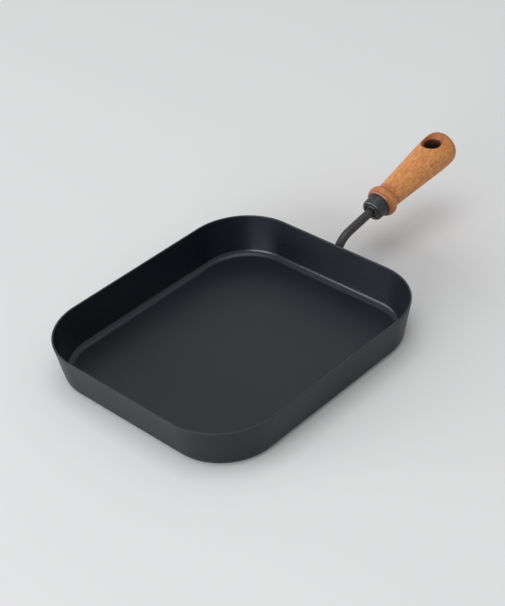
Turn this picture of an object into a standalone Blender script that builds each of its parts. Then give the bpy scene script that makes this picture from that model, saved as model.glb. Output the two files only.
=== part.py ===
"""Rectangular pan of drawn steel sheet with a bent rod handle and a turned wooden grip.

Metres, +Z up. The origin is the centre of the pan's underside, where it rests on a hob or a table.
+X points to the handle and the XZ plane cuts the pan and its handle into two equal halves.

The handle's turned pieces are made on a local X axis that starts at the shoulder of the wood and
points to the grip's tip. That axis is an empty, and the turned pieces are its children.
"""

import math

import bmesh
import bpy
from mathutils import Vector
from mathutils.geometry import interpolate_bezier

MM = 0.001
MERGE_DISTANCE = MM / 1000
SHARP_ANGLE = math.radians(30)  # edges that turn more than this look sharp

# Space left between two pieces that touch
FIT_GAP = 0.3 * MM

# Pan body, all sizes outside the sheet
PAN_LENGTH = 260 * MM  # rim to rim, along the handle
PAN_WIDTH = 228 * MM  # rim to rim, across the handle
PAN_HEIGHT = 38.5 * MM
SHEET = 1.6 * MM
CORNER_RADIUS = 55.5 * MM  # seen from above, at the rim
WALL_LEAN = 7.0 * MM  # each wall leans out this far on its way up
BASE_ROUND = 7.6 * MM  # between the flat base and the walls
RIM_EASE = 0.4 * MM  # the cut edge's two corners

# Handle rod
ROD_DIAMETER = 8.0 * MM
ROD_RISE = math.radians(9.5)  # slope of the straight part
ROD_BEND = 24.0 * MM  # centre line radius of the bend
ROD_END_HEIGHT = 8.5 * MM  # the foot's lower end above the table
ROD_CHAMFER = 0.6 * MM
ROD_ENGAGE = 24.0 * MM  # how far the rod's end goes into the wood, from its shoulder
GRIP_REACH = 62.5 * MM  # rim to the shoulder of the wood, level
GRIP_LIFT = 9.0 * MM  # handle axis above the rim, at that shoulder

# Welds that hold the rod's foot on the wall
WELD_LEG = 3.0 * MM  # height against the rod, and reach over the wall
WELD_SETBACK = 0.8 * MM  # from the foot's end, and from the start of the bend
WELD_CROWN = 0.35 * MM
WELD_END_SIZE = 0.45  # share of the full section that is left at both ends
WELD_TAPER = 0.2  # share of the run over which each end swells to the full section

# Ferrule, a turned cap over the front of the wood
FERRULE_LENGTH = 11.4 * MM
FERRULE_BACK_DIAMETER = 21.8 * MM
FERRULE_FRONT_DIAMETER = 20.2 * MM
FERRULE_ROUND = 2.4 * MM  # front corner
FERRULE_WALL = 1.8 * MM  # around the wood's tenon
FERRULE_WEB = 1.6 * MM  # between the tenon and the front recess
RECESS_DIAMETER = 12.4 * MM
RECESS_DEPTH = 3.0 * MM
RECESS_CHAMFER = 0.4 * MM

# Collar on the rod, in the ferrule's recess
COLLAR_DIAMETER = 10.4 * MM
COLLAR_WIDTH = 2.0 * MM
COLLAR_ROUND = 0.5 * MM

# Threaded bush inside the wood
BUSH_DIAMETER = 12.0 * MM
BUSH_LENGTH = 20.0 * MM
BUSH_CHAMFER = 1.0 * MM

# Wooden grip, stations measured from its shoulder towards its tip
GRIP_LENGTH = 101.7 * MM
BEAD_DIAMETER = 29.5 * MM
BEAD_STATION = 5.3 * MM  # crest of the bead
BEAD_ROUND = 7.2 * MM  # radius of the bead's section, which the shoulder's face cuts
SHOULDER_EASE = 0.9 * MM  # where the bead meets that face
NECK_DIAMETER = 23.6 * MM
NECK_FILLET = 2.0 * MM  # hollow corner between the bead and the neck
BELLY_DIAMETER = 33.6 * MM
BELLY_STATION = 87.0 * MM  # thickest place
NECK_HANDLE = 10.0 * MM  # how long the curve stays level at the neck
BELLY_HANDLE = 12.0 * MM  # and at the belly
TIP_FULLNESS = 2.8  # 2 is an ellipse, and more is blunter
BORE_RELIEF = 2.0 * MM  # free depth beyond the rod's end

# Hanging hole, square to the grip's axis
HOLE_STATION = 82.0 * MM
HOLE_DIAMETER = 15.7 * MM
SINK_DIAMETER = 24.4 * MM  # its cone, at the height of the belly
SINK_DEPTH = 5.1 * MM  # from that height to the bore

# Fineness of the round shapes
CORNER_STEPS = 16
ROUND_STEPS = 8
ROD_SIDES = 24
BEND_STEPS = 14
TURN_STEPS = 48
BEAD_STEPS = 12
CORNER_EASE_STEPS = 3
SMALL_ARC_STEPS = 4
RIM_SEGMENTS = 2
WELD_FACE_STEPS = 4
WELD_STEPS = 12
BODY_STEPS = 14
TIP_STEPS = 9
HOLE_STEPS = 48

# Sizes that follow from the ones above
WALL_ANGLE = math.atan2(WALL_LEAN, PAN_HEIGHT)  # from upright
ROD_RADIUS = ROD_DIAMETER / 2
ROD_BORE_RADIUS = ROD_RADIUS + FIT_GAP
SOCKET_RADIUS = FERRULE_BACK_DIAMETER / 2 - FERRULE_WALL
TENON_LENGTH = FERRULE_LENGTH - RECESS_DEPTH - FERRULE_WEB - FIT_GAP
SHOULDER_POINT = Vector((PAN_LENGTH / 2 + GRIP_REACH, 0, PAN_HEIGHT + GRIP_LIFT))
HANDLE_DIRECTION = Vector((math.cos(ROD_RISE), 0, math.sin(ROD_RISE)))


def clear_scene():
    for item in list(bpy.data.objects):
        bpy.data.objects.remove(item, do_unlink=True)


def make_material(name, colour, roughness, metallic):
    material = bpy.data.materials.new(name)
    material.use_nodes = True
    shader = material.node_tree.nodes["Principled BSDF"]
    shader.inputs["Base Color"].default_value = (*colour, 1)
    shader.inputs["Roughness"].default_value = roughness
    shader.inputs["Metallic"].default_value = metallic
    material.diffuse_color = (*colour, 1)
    return material


def coated_steel():
    """Matte black heat-proof coating of the pan body."""
    return make_material("coated_steel", (0.045, 0.047, 0.051), 0.5, 0.3)


def black_rod_steel():
    return make_material("black_rod_steel", (0.032, 0.032, 0.034), 0.55, 0.4)


def black_weld():
    return make_material("black_weld", (0.04, 0.04, 0.042), 0.6, 0.4)


def black_ferrule_steel():
    return make_material("black_ferrule_steel", (0.028, 0.029, 0.032), 0.45, 0.4)


def grey_collar_steel():
    return make_material("grey_collar_steel", (0.07, 0.07, 0.075), 0.4, 0.7)


def bright_bush_steel():
    return make_material("bright_bush_steel", (0.55, 0.54, 0.5), 0.35, 1.0)


def oiled_wood():
    return make_material("oiled_wood", (0.46, 0.18, 0.065), 0.5, 0.0)


def finish_object(name, bm, material, parent=None):
    """Turn the bmesh into a named object, with flat faces flat and round ones smooth."""
    bmesh.ops.recalc_face_normals(bm, faces=bm.faces)
    mesh = bpy.data.meshes.new(name)
    bm.to_mesh(mesh)
    bm.free()
    mesh.shade_smooth()
    mesh.set_sharp_from_angle(angle=SHARP_ANGLE)
    mesh.materials.append(material)
    item = bpy.data.objects.new(name, mesh)
    bpy.context.scene.collection.objects.link(item)
    item.parent = parent
    return item


def arc(centre, radius, start, end, steps):
    """Points of an arc in a plane, both ends included. Angles are in radians."""
    points = []
    for step in range(steps + 1):
        angle = start + (end - start) * step / steps
        points.append((centre[0] + radius * math.cos(angle), centre[1] + radius * math.sin(angle)))
    return points


def arc_point(centre, radius, angle):
    return Vector(arc(centre, radius, angle, angle, 1)[0])


def eased_corner(start, corner, end):
    """Points of a curve that takes the place of a corner, leaving and arriving along its two legs."""
    points = []
    for step in range(CORNER_EASE_STEPS + 1):
        share = step / CORNER_EASE_STEPS
        first = Vector(start).lerp(Vector(corner), share)
        second = Vector(corner).lerp(Vector(end), share)
        points.append(tuple(first.lerp(second, share)))
    return points


def loft(bm, rings):
    """Skin closed rings of equal count one after another and close both ends. Returns each ring's edges."""
    rows = [[bm.verts.new(point) for point in ring] for ring in rings]
    for lower, upper in zip(rows, rows[1:]):
        for i in range(len(lower)):
            bm.faces.new((lower[i - 1], lower[i], upper[i], upper[i - 1]))
    for end in (rows[0], rows[-1]):
        bm.faces.new(end)
    return [[bm.edges.get((row[i - 1], row[i])) for i in range(len(row))] for row in rows]


def turned(name, profile, closed, material, parent, steps=TURN_STEPS):
    """Spin a profile of (station, radius) points round the local X axis."""
    bm = bmesh.new()
    verts = [bm.verts.new((station, 0, radius)) for station, radius in profile]
    pairs = list(zip(verts, verts[1:]))
    if closed:
        pairs.append((verts[-1], verts[0]))
    edges = [bm.edges.new(pair) for pair in pairs]
    bmesh.ops.spin(
        bm, geom=verts + edges, cent=(0, 0, 0), axis=(1, 0, 0), angle=math.tau, steps=steps, use_merge=True
    )
    bmesh.ops.remove_doubles(bm, verts=bm.verts, dist=MERGE_DISTANCE)
    return finish_object(name, bm, material, parent)


def rounded_rectangle(inset, height):
    """The pan's outline seen from above, drawn in from the rim's outer edge by inset."""
    half_length = PAN_LENGTH / 2 - inset
    half_width = PAN_WIDTH / 2 - inset
    radius = CORNER_RADIUS - inset
    ring = []
    for quarter, (side_x, side_y) in enumerate(((1, 1), (-1, 1), (-1, -1), (1, -1))):
        centre = (side_x * (half_length - radius), side_y * (half_width - radius))
        start = quarter * math.pi / 2
        ring += arc(centre, radius, start, start + math.pi / 2, CORNER_STEPS)
    return [Vector((x, y, height)) for x, y in ring]


def pan_section():
    """Cut through the sheet from the base's outside over the rim to the floor, as (inset, height)."""
    turn = math.pi / 2 - WALL_ANGLE  # how far the sheet turns from floor to wall
    centre = (WALL_LEAN + BASE_ROUND * math.tan(turn / 2), BASE_ROUND)
    down = -math.pi / 2
    outside = arc(centre, BASE_ROUND, down, down - turn, ROUND_STEPS)
    inside = arc(centre, BASE_ROUND - SHEET, down - turn, down, ROUND_STEPS)
    rim = [(0, PAN_HEIGHT), (SHEET / math.cos(WALL_ANGLE), PAN_HEIGHT)]
    return outside + rim + inside


def make_pan_body(material):
    """One sheet drawn into a tray: flat base, rounded turn, leaning walls and a plain cut rim."""
    bm = bmesh.new()
    section = pan_section()
    loops = loft(bm, [rounded_rectangle(inset, height) for inset, height in section])
    rim_edges = [edge for loop, (_, height) in zip(loops, section) if height == PAN_HEIGHT for edge in loop]
    bmesh.ops.bevel(
        bm,
        geom=rim_edges,
        offset=RIM_EASE,
        offset_type="OFFSET",
        segments=RIM_SEGMENTS,
        profile=0.5,
        affect="EDGES",
    )
    return finish_object("pan_body", bm, material)


def wall_frame():
    """Directions on the outside of the handle-side wall: up along it, and square out of it."""
    up = Vector((math.sin(WALL_ANGLE), 0, math.cos(WALL_ANGLE)))
    out = Vector((math.cos(WALL_ANGLE), 0, -math.sin(WALL_ANGLE)))
    return up, out


def rod_path():
    """Foot end, start of the bend, bend centre and turn angle of the rod's centre line."""
    up, out = wall_frame()
    wall_foot = Vector((PAN_LENGTH / 2 - WALL_LEAN, 0, 0)) + out * ROD_BORE_RADIUS
    # The foot's line and the handle's line cross at the corner that the bend rounds off.
    along = wall_foot - SHOULDER_POINT
    cross = up.x * HANDLE_DIRECTION.z - up.z * HANDLE_DIRECTION.x
    distance = (along.z * HANDLE_DIRECTION.x - along.x * HANDLE_DIRECTION.z) / cross
    corner = wall_foot + up * distance
    turn = math.pi / 2 - WALL_ANGLE - ROD_RISE
    bend_start = corner - up * (ROD_BEND * math.tan(turn / 2))
    foot_end = bend_start - up * ((bend_start.z - ROD_END_HEIGHT) / up.z)
    return foot_end, bend_start, bend_start + out * ROD_BEND, turn


def rod_ring(centre, lean):
    """Circle of the rod's size round centre, square to a direction that leans from upright towards +X."""
    out = Vector((math.cos(lean), 0, -math.sin(lean)))
    ring = []
    for step in range(ROD_SIDES):
        angle = math.tau * step / ROD_SIDES
        offset = out * math.cos(angle) + Vector((0, 1, 0)) * math.sin(angle)
        ring.append(centre + offset * ROD_RADIUS)
    return ring


def make_handle_rod(material):
    """Round bar: a straight foot on the wall, one bend, and a straight run into the wood."""
    foot_end, _, bend_centre, turn = rod_path()
    rings = [rod_ring(foot_end, WALL_ANGLE)]
    for step in range(BEND_STEPS + 1):
        lean = WALL_ANGLE + turn * step / BEND_STEPS
        inward = Vector((-math.cos(lean), 0, math.sin(lean)))
        rings.append(rod_ring(bend_centre + inward * ROD_BEND, lean))
    rings.append(rod_ring(SHOULDER_POINT + HANDLE_DIRECTION * ROD_ENGAGE, WALL_ANGLE + turn))
    bm = bmesh.new()
    loops = loft(bm, rings)
    bmesh.ops.bevel(
        bm,
        geom=loops[0] + loops[-1],
        offset=ROD_CHAMFER,
        offset_type="OFFSET",
        segments=1,
        profile=0.5,
        affect="EDGES",
    )
    return finish_object("handle_rod", bm, material)


def weld_section(leg):
    """Fillet between the wall and the rod, as (across, out of the wall) points for the +Y side."""
    hub = (0, ROD_BORE_RADIUS)
    root = math.asin((FIT_GAP - ROD_BORE_RADIUS) / ROD_BORE_RADIUS)
    top = math.asin((FIT_GAP + leg - ROD_BORE_RADIUS) / ROD_BORE_RADIUS)
    rod_side = arc(hub, ROD_BORE_RADIUS, root, top, SMALL_ARC_STEPS)
    crest = Vector(rod_side[-1])
    toe = Vector((crest.x + leg, FIT_GAP))
    face = []
    for step in range(1, WELD_FACE_STEPS):
        share = step / WELD_FACE_STEPS
        swell = WELD_CROWN * math.sin(share * math.pi) * leg / WELD_LEG
        face.append(tuple(crest.lerp(toe, share) + Vector((swell, swell))))
    return rod_side + face + [tuple(toe)]


def weld_fullness(share):
    """Size of the section at a share of the weld's run: small at both ends and full between them."""
    depth = min(1, share / WELD_TAPER, (1 - share) / WELD_TAPER)
    return WELD_END_SIZE + (1 - WELD_END_SIZE) * math.sin(depth * math.pi / 2)


def make_weld(name, side, material):
    """One run of weld beside the rod's foot. side is +1 or -1 along Y."""
    foot_end, bend_start, _, _ = rod_path()
    up, out = wall_frame()
    wall_start = foot_end - out * ROD_BORE_RADIUS
    length = (bend_start - foot_end).length - 2 * WELD_SETBACK
    rings = []
    for step in range(WELD_STEPS + 1):
        share = step / WELD_STEPS
        centre = wall_start + up * (WELD_SETBACK + length * share)
        section = weld_section(WELD_LEG * weld_fullness(share))
        rings.append([centre + Vector((0, side * across, 0)) + out * height for across, height in section])
    bm = bmesh.new()
    loft(bm, rings)
    return finish_object(name, bm, material)


def make_handle_axis():
    """Empty at the wood's shoulder whose X axis runs along the grip."""
    axis = bpy.data.objects.new("handle_axis", None)
    axis.location = SHOULDER_POINT
    axis.rotation_euler = (0, -ROD_RISE, 0)
    bpy.context.scene.collection.objects.link(axis)
    return axis


def make_ferrule(material, parent):
    """Cap with a socket for the wood's tenon behind its web and a recess for the collar before it."""
    front = -FERRULE_LENGTH
    back_radius = FERRULE_BACK_DIAMETER / 2
    front_radius = FERRULE_FRONT_DIAMETER / 2
    recess_radius = RECESS_DIAMETER / 2
    recess_floor = front + RECESS_DEPTH
    centre = (front + FERRULE_ROUND, front_radius - FERRULE_ROUND)
    profile = [
        (-FIT_GAP, SOCKET_RADIUS),
        (-FIT_GAP, back_radius),
        *arc(centre, FERRULE_ROUND, math.pi / 2, math.pi, ROUND_STEPS),
        (front, recess_radius + RECESS_CHAMFER),
        (front + RECESS_CHAMFER, recess_radius),
        (recess_floor, recess_radius),
        (recess_floor, ROD_BORE_RADIUS),
        (recess_floor + FERRULE_WEB, ROD_BORE_RADIUS),
        (recess_floor + FERRULE_WEB, SOCKET_RADIUS),
    ]
    return turned("ferrule", profile, True, material, parent)


def make_collar(material, parent):
    """Ring fixed on the rod that presses the ferrule against the wood."""
    back = -FERRULE_LENGTH + RECESS_DEPTH - FIT_GAP
    front = back - COLLAR_WIDTH
    radius = COLLAR_DIAMETER / 2
    centre = (front + COLLAR_ROUND, radius - COLLAR_ROUND)
    profile = [
        (back, ROD_BORE_RADIUS),
        (back, radius),
        *arc(centre, COLLAR_ROUND, math.pi / 2, math.pi, SMALL_ARC_STEPS),
        (front, ROD_BORE_RADIUS),
    ]
    return turned("stop_collar", profile, True, material, parent, steps=HOLE_STEPS)


def make_bush(material, parent):
    """Bush let into the wood, into which the rod's threaded end is screwed."""
    front = -TENON_LENGTH
    back = front + BUSH_LENGTH
    radius = BUSH_DIAMETER / 2
    profile = [
        (front, ROD_BORE_RADIUS),
        (front, radius),
        (back - BUSH_CHAMFER, radius),
        (back, radius - BUSH_CHAMFER),
        (back, ROD_BORE_RADIUS),
    ]
    return turned("threaded_bush", profile, True, material, parent, steps=HOLE_STEPS)


def bead_profile():
    """Bead behind the shoulder's face: one arc with its front corner eased and its back run into the neck."""
    hub = Vector((BEAD_STATION, BEAD_DIAMETER / 2 - BEAD_ROUND))
    face_angle = math.acos(-BEAD_STATION / BEAD_ROUND)
    neck_angle = math.asin((NECK_DIAMETER / 2 - hub.y) / BEAD_ROUND)
    start = face_angle - SHOULDER_EASE / BEAD_ROUND
    end = neck_angle + NECK_FILLET / BEAD_ROUND
    crest = arc(hub, BEAD_ROUND, start, end, BEAD_STEPS)
    shoulder_corner = arc_point(hub, BEAD_ROUND, face_angle)
    neck_corner = arc_point(hub, BEAD_ROUND, neck_angle)
    face_point = shoulder_corner - Vector((0, SHOULDER_EASE))
    neck_point = neck_corner + Vector((NECK_FILLET, 0))
    front = eased_corner(face_point, shoulder_corner, crest[0])
    back = eased_corner(crest[-1], neck_corner, neck_point)
    return front + crest[1:-1] + back


def body_profile(start_station):
    """Neck to belly as one curve that leaves and arrives level."""
    neck = (start_station, NECK_DIAMETER / 2, 0)
    belly = (BELLY_STATION, BELLY_DIAMETER / 2, 0)
    neck_handle = (start_station + NECK_HANDLE, NECK_DIAMETER / 2, 0)
    belly_handle = (BELLY_STATION - BELLY_HANDLE, BELLY_DIAMETER / 2, 0)
    curve = interpolate_bezier(neck, neck_handle, belly_handle, belly, BODY_STEPS + 1)
    return [(point.x, point.y) for point in curve]


def tip_profile():
    """Belly to tip, a blunt oval end that closes on the axis."""
    length = GRIP_LENGTH - BELLY_STATION
    points = []
    for step in range(1, TIP_STEPS):
        angle = math.pi / 2 * step / TIP_STEPS
        along = math.sin(angle) ** (2 / TIP_FULLNESS)
        out = math.cos(angle) ** (2 / TIP_FULLNESS)
        points.append((BELLY_STATION + length * along, BELLY_DIAMETER / 2 * out))
    return points + [(GRIP_LENGTH, 0)]


def grip_bore_profile():
    """Blind bore from its bottom on the axis out to the tenon's front and back to the shoulder."""
    bush_end = -TENON_LENGTH + BUSH_LENGTH + FIT_GAP
    bush_bore_radius = BUSH_DIAMETER / 2 + FIT_GAP
    tenon_radius = SOCKET_RADIUS - FIT_GAP
    bore_end = ROD_ENGAGE + BORE_RELIEF
    return [
        (bore_end, 0),
        (bore_end, ROD_BORE_RADIUS),
        (bush_end, ROD_BORE_RADIUS),
        (bush_end, bush_bore_radius),
        (-TENON_LENGTH, bush_bore_radius),
        (-TENON_LENGTH, tenon_radius),
        (0, tenon_radius),
    ]


def make_hole_cutter(parent):
    """Double countersink and bore on the hole's own axis, longer than the grip is thick."""
    bore = HOLE_DIAMETER / 2
    sink = SINK_DIAMETER / 2
    mouth = BELLY_DIAMETER / 2
    slope = (sink - bore) / SINK_DEPTH
    reach = mouth + SINK_DEPTH
    flare = bore + slope * (reach - mouth + SINK_DEPTH)
    profile = [
        (-reach, 0),
        (-reach, flare),
        (SINK_DEPTH - mouth, bore),
        (mouth - SINK_DEPTH, bore),
        (reach, flare),
        (reach, 0),
    ]
    cutter = turned("hole_cutter", profile, False, None, parent, steps=HOLE_STEPS)
    cutter.location = (HOLE_STATION, 0, 0)
    cutter.rotation_euler = (0, -math.pi / 2, 0)
    cutter.hide_render = True
    cutter.display_type = "WIRE"
    return cutter


def make_grip(material, parent):
    """Turned handle with a tenon, a bead, a swelling body and a countersunk hole to hang it by."""
    bead = bead_profile()
    body = body_profile(bead[-1][0])[1:]
    profile = grip_bore_profile() + bead + body + tip_profile()
    grip = turned("wooden_grip", profile, False, material, parent)
    cut = grip.modifiers.new("hanging_hole", "BOOLEAN")
    cut.operation = "DIFFERENCE"
    cut.solver = "EXACT"
    cut.object = make_hole_cutter(parent)
    return grip


def main():
    clear_scene()
    make_pan_body(coated_steel())
    make_handle_rod(black_rod_steel())
    weld = black_weld()
    make_weld("left_weld", 1, weld)
    make_weld("right_weld", -1, weld.copy())
    axis = make_handle_axis()
    make_collar(grey_collar_steel(), axis)
    make_ferrule(black_ferrule_steel(), axis)
    make_bush(bright_bush_steel(), axis)
    make_grip(oiled_wood(), axis)


main()
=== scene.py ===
"""Looks of a rectangular steel pan with a bent rod handle and a turned wooden grip.

Metres, +Z up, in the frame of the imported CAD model: the origin is the centre of the pan's underside and
+X points to the handle. The handle's turned pieces are made on an X axis that starts at the wood's
shoulder, and are then turned and moved onto the handle.
"""

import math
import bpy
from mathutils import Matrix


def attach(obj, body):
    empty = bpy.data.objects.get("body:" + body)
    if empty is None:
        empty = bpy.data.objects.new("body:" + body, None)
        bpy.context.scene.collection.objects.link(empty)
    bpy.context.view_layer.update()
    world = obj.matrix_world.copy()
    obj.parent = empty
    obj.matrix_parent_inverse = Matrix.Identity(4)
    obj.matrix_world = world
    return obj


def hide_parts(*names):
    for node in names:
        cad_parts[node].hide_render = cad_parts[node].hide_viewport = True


bl_info = {
    "name": "Rod-handled steel pan",
    "version": (1, 0, 0),
    "blender": (4, 5, 0),
    "location": "3D View > Sidebar > Steel Pan",
    "description": "Makes the fine pieces, finishes and studio stage of a steel pan with a wooden grip",
    "category": "Object",
}

import bmesh
import bpy
from bmesh.types import BMEdge, BMFace, BMVert
from bpy.props import FloatProperty, FloatVectorProperty, PointerProperty
from bpy.types import NodeSocket, Operator, Panel, PropertyGroup
from mathutils import Matrix, Vector
from mathutils.geometry import interpolate_bezier

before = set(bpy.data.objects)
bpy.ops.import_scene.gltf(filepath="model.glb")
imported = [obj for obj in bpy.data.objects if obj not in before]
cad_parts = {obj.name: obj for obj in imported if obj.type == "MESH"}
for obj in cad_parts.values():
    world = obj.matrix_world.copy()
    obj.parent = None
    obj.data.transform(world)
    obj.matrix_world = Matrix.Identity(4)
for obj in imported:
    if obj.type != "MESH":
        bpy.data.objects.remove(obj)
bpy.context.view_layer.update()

MM = 0.001
BODY = "root"
MERGE = MM / 1000

# Fineness of the shapes
PAN_CORNER_SEGMENTS = 40
BASE_ROUND_SEGMENTS = 14
RIM_SEGMENTS = 4
ROD_SIDES = 64
ROD_BEND_STEPS = 36
EASE_SEGMENTS = 4
TURNED_SIDES = 128
BEAD_STEPS = 28
BODY_STEPS = 48
TIP_STEPS = 24
WELD_STEPS_PER_RIPPLE = 6
WELD_SKIN_CUTS = 9
FERRULE_ROUND_SEGMENTS = 14
COLLAR_ROUND_SEGMENTS = 6
COLLAR_EASE_SEGMENTS = 2
FLOOR_SIDES = 96

# Faces that meet at a smaller angle than this look like one surface
SHARP_ANGLE = math.radians(50)
WELD_SHARP_ANGLE = math.radians(60)

# A face is level when the upright part of its normal is larger than this
LEVEL = 0.99

# Sanding of the wood's whole skin once its hole is cut
SANDING_STRENGTH = 0.5
SANDING_PASSES = 3

# Shape of the weld, as shares of its run and of its section
WELD_END_SHARE = 0.2
WELD_END_SIZE = 0.35
WELD_DIP = 0.055

# Where a Mix node has its colour sockets, after those for numbers and vectors
MIX_COLOUR_INPUTS = (6, 7)
MIX_COLOUR_OUTPUT = 2

# Soft lamps that face the pan: name, direction counted from the handle's and rise (both in degrees),
# distance, width and height in metres, and watts
LAMPS = (
    ("side_lamp", 188, 17, 4.0, 3.0, 1.33, 112),
    ("corner_lamp", 155, 17, 4.0, 3.2, 1.33, 33),
    ("low_lamp", 137, 8, 4.0, 3.0, 0.9, 90),
    ("top_lamp", 180, 89, 3.9, 3.0, 3.0, 51),
)


# Settings


def number(name, description, default, **options):
    return FloatProperty(name=name, description=description, default=default, **options)


def length(name, description, millimetres):
    """A length that is given in millimetres and read in metres."""
    size = millimetres * MM
    return number(name, description, size, min=0, precision=4, subtype="DISTANCE", unit="LENGTH")


def triple(name, description, default, **options):
    return FloatVectorProperty(name=name, description=description, default=default, **options)


def colour(name, description, default):
    return triple(name, description, default, min=0, max=1, subtype="COLOR")


class PanSizes(PropertyGroup):
    """Outside sizes of the drawn sheet."""

    length: length("Length", "Rim to rim, along the handle", 260)
    width: length("Width", "Rim to rim, across the handle", 228)
    height: length("Height", "Table to rim", 38.5)
    sheet: length("Sheet", "Thickness of the steel", 1.6)
    corner_radius: length("Corner radius", "Of the rim, seen from above", 55.5)
    wall_lean: length("Wall lean", "How far a wall leans out on its way up", 7)
    base_round: length("Base round", "Outside radius between base and wall", 7.6)
    rim_ease: length("Rim ease", "Rounding of the cut edge", 0.4)


class HandleSizes(PropertyGroup):
    """Rod, welds, collar and ferrule."""

    rod_diameter: length("Rod diameter", "Round bar", 8)
    rise: number("Rise", "Slope of the straight part", math.radians(9.5), subtype="ANGLE")
    bend_radius: length("Bend radius", "Centre line of the rod's bend", 24)
    foot_height: length("Foot height", "Rod's lower end above the table", 8.5)
    rod_chamfer: length("Rod chamfer", "At both ends of the rod", 0.6)
    reach: length("Reach", "Rim to the shoulder of the wood, level", 62.5)
    lift: length("Lift", "Handle axis above the rim at that shoulder", 9)
    engagement: length("Engagement", "How far the rod goes into the wood", 24)
    fit_gap: length("Fit gap", "Space between two pieces that touch", 0.3)
    weld_leg: length("Weld leg", "Reach of the weld over wall and rod", 3)
    weld_setback: length("Weld setback", "From the foot's end and from the bend", 0.8)
    weld_ripple: length("Weld ripple", "Length of one ripple of the weld", 1.1)
    weld_swell: length("Weld swell", "How far the weld's skin bulges", 0.55)
    weld_bow: length("Weld bow", "How far each ripple bows up the wall", 1.0)
    ferrule_length: length("Ferrule length", "Front to the wood's shoulder", 11.4)
    ferrule_back: length("Ferrule back", "Diameter at the wood", 21.8)
    ferrule_front: length("Ferrule front", "Diameter at the front", 20.2)
    ferrule_round: length("Ferrule round", "Rounding of the front corner", 2.4)
    ferrule_lip: length("Ferrule lip", "Rounding of the opening's edge", 0.45)
    ferrule_ease: length("Ferrule ease", "Its other rounded corners", 0.3)
    ferrule_wall: length("Ferrule wall", "Around the wood's tenon", 1.8)
    ferrule_web: length("Ferrule web", "Between the tenon and the recess", 1.6)
    recess_diameter: length("Recess diameter", "Opening in the ferrule's front", 12.4)
    recess_depth: length("Recess depth", "Of that opening", 3)
    collar_diameter: length("Collar diameter", "Ring on the rod", 10.4)
    collar_width: length("Collar width", "Along the rod", 2)
    collar_round: length("Collar round", "Its front corner", 0.5)
    collar_ease: length("Collar ease", "Front edge of its bore", 0.2)
    collar_fit: length("Collar fit", "Space between the collar and the rod", 0.1)


class GripSizes(PropertyGroup):
    """Turned wood, its stations measured from the shoulder towards the tip."""

    length: length("Length", "Shoulder to tip", 101.62)
    bead_diameter: length("Bead diameter", "Crest of the bead", 29.5)
    bead_station: length("Bead station", "Where the crest is", 5.3)
    bead_round: length("Bead round", "Radius of the bead's section", 7.2)
    shoulder_ease: length("Shoulder ease", "Front edge of the bead", 0.9)
    neck_diameter: length("Neck diameter", "Thinnest place", 23.6)
    neck_fillet: length("Neck fillet", "Hollow behind the bead", 2)
    neck_handle: length("Neck run", "How long the curve stays level at the neck", 10)
    belly_diameter: length("Belly diameter", "Thickest place", 33.6)
    belly_station: length("Belly station", "Where that is", 87)
    belly_handle: length("Belly run", "How long the curve stays level there", 12)
    tip_fullness: number("Tip fullness", "2 is an ellipse", 2.8, min=2, max=5)
    bush_diameter: length("Bush diameter", "Of the bush that the wood holds", 12)
    bush_length: length("Bush length", "Of that bush", 20)
    bore_relief: length("Bore relief", "Free depth beyond the rod's end", 2)
    hole_station: length("Hole station", "Middle of the hanging hole", 82)
    hole_diameter: length("Hole diameter", "Its bore", 15.7)
    sink_diameter: length("Countersink", "Its cone at the height of the belly", 24.4)
    sink_depth: length("Countersink depth", "From that height to the bore", 5.1)
    skin_step: length("Skin step", "Fineness of the sanded skin", 0.43)


class Finishes(PropertyGroup):
    """Colours of the finishes, as linear light."""

    inner_coat: colour("Inside coating", "Smooth black, inside and on the rim", (0.0052, 0.0058, 0.0090))
    outer_coat: colour("Outside coating", "Matte black, outside", (0.0067, 0.0070, 0.0082))
    coat_tint: colour("Coating's tint", "Tint of what both coatings reflect", (0.84, 0.905, 1.0))
    bare_edge: colour("Thin coating", "Where an edge shows through its coating", (0.014, 0.0145, 0.017))
    rod: colour("Rod", "Black finish of the rod", (0.0118, 0.012, 0.0128))
    ferrule: colour("Ferrule", "Black finish of the ferrule", (0.0125, 0.0132, 0.0148))
    collar: colour("Collar", "Grey ring on the rod", (0.036, 0.0365, 0.038))
    collar_edge: colour("Collar edge", "Paler front edge of that ring", (0.0504, 0.0511, 0.0532))
    bush: colour("Bush", "Turned steel", (0.48, 0.46, 0.42))
    wood_light: colour("Light wood", "Yellow grain", (0.615, 0.284, 0.086))
    wood_dark: colour("Red wood", "Orange grain", (0.402, 0.132, 0.041))
    wood_pore: colour("Wood pores", "Open grain", (0.15, 0.046, 0.014))
    # This colour is also mixed in as painted shade in the hollow behind the bead and at the tip's far end.
    wood_stain_and_shade: colour("Oil stain", "Where the oil went in deepest", (0.225, 0.050, 0.010))
    # Near-black painted shade for the bore, part of the countersink and the corner at the ferrule.
    painted_shade_colour: colour("Painted recess shade", "Wall of the drilled bore", (0.012, 0.006, 0.004))


class StageSettings(PropertyGroup):
    """Floor, light and camera."""

    floor_colour: colour("Floor", "Pale paper under the pan", (0.684, 0.689, 0.694))
    far_floor_colour: colour("Far floor", "The same paper towards its edge", (0.96, 0.965, 0.97))
    floor_radius: length("Floor radius", "Size of the floor", 4000)
    ambient: number("Ambient", "Soft light from all round", 0.475, min=0)
    lamp_level: number("Lamp level", "Scales the power of every lamp", 1.0, min=0)
    camera_place: triple(
        "Camera place", "Where the camera stands", (-0.67068, -0.70458, 0.7555), subtype="TRANSLATION"
    )
    camera_turn: triple("Camera turn", "Which way it looks", (0.94033, 0.0649, -0.82563), subtype="EULER")
    camera_lens: number("Lens", "Focal length in millimetres", 86.906, min=1)


class SteelPanSettings(PropertyGroup):
    """All the settings of the pan and its stage."""

    pan: PointerProperty(type=PanSizes)
    handle: PointerProperty(type=HandleSizes)
    grip: PointerProperty(type=GripSizes)
    finishes: PointerProperty(type=Finishes)
    stage: PointerProperty(type=StageSettings)


# Shared helpers for shapes


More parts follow.
